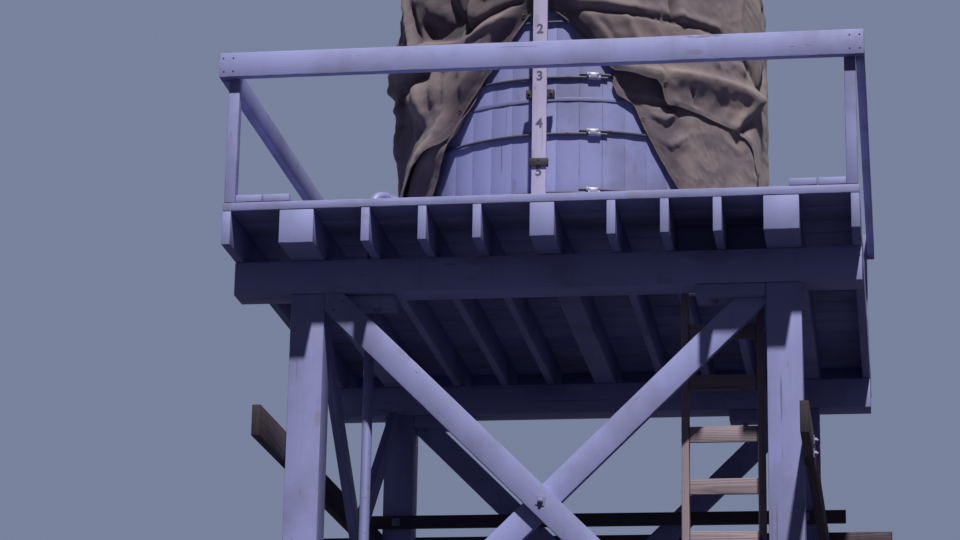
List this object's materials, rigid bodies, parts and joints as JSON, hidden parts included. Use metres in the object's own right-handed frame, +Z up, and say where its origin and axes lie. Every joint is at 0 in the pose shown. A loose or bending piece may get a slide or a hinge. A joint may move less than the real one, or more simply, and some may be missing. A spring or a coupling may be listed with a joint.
{
  "type": "timber water tower",
  "caption": "Timber water tower: stave tank under a canvas cover on a railed deck, carried by braced square posts, with ladder, riser pipe and a level gauge whose indicator slides.",
  "frame": {"origin": "on the ground, under the middle of the whole tower's bounds", "axes": "+Z up, -Y towards the front with the gauge and the ladder, +X to the right seen from the front"},
  "size_m": [3.9, 4.2993, 8.9876],
  "materials": {
    "painted_timber": "matt paint, pale blue grey",
    "tank_timber": "matt paint over staves",
    "raw_timber": "bare sawn wood",
    "brown_timber": "weathered bare wood",
    "hoop_steel": "paint over galvanised rod",
    "canvas": "heavy cotton canvas",
    "gauge_paint": "white paint with black numbers",
    "dark_iron": "dark painted iron",
    "pipe_paint": "painted steel pipe"
  },
  "bodies": {
    "tower": {"post_front_left": "painted_timber", "post_front_right": "painted_timber", "post_back_left": "painted_timber", "post_back_right": "painted_timber", "girder_front": "painted_timber", "girder_back": "painted_timber", "beam_left": "painted_timber", "beam_middle": "painted_timber", "beam_right": "painted_timber", "edge_joist_left": "painted_timber", "edge_joist_right": "painted_timber", "joist_1": "painted_timber", "joist_2": "painted_timber", "joist_3": "painted_timber", "joist_4": "painted_timber", "joist_5": "painted_timber", "rim_back": "painted_timber", "hatch_framing_front": "painted_timber", "hatch_framing_back": "painted_timber", "deck": "painted_timber", "walk_left": "painted_timber", "walk_right": "painted_timber", "railing_left": "painted_timber", "railing_right": "painted_timber", "rail_front": "painted_timber", "rail_back": "painted_timber", "brace_front_outer": "painted_timber", "brace_front_inner": "painted_timber", "brace_back_outer": "painted_timber", "brace_back_inner": "painted_timber", "brace_left_outer": "painted_timber", "brace_left_inner": "painted_timber", "brace_right_outer": "painted_timber", "brace_right_inner": "painted_timber", "brace_lower_front": "painted_timber", "brace_lower_back": "painted_timber", "brace_lower_left": "painted_timber", "brace_lower_right": "painted_timber", "side_plank_left": "brown_timber", "side_plank_right": "brown_timber", "back_bar_upper": "brown_timber", "back_bar_lower": "brown_timber", "tank_wall": "tank_timber", "tank_floor": "raw_timber", "tank_roof": "tank_timber", "hoop_1": "hoop_steel", "hoop_2": "hoop_steel", "hoop_3": "hoop_steel", "hoop_4": "hoop_steel", "hoop_5": "hoop_steel", "canvas_cover": "canvas", "gauge_board": "gauge_paint", "gauge_bracket": "dark_iron", "gauge_strap": "hoop_steel", "ladder": "raw_timber", "riser_pipe": "pipe_paint", "pipe_branch": "pipe_paint"},
    "indicator": {"indicator_plate": "dark_iron", "indicator_cheek_left": "dark_iron", "indicator_cheek_right": "dark_iron"}
  },
  "joints": [
    {"name": "indicator_slide", "type": "slide", "parent": "tower", "child": "indicator", "axis": [0, 0, 1], "range_m": [-0.35, 1.48]}
  ]
}
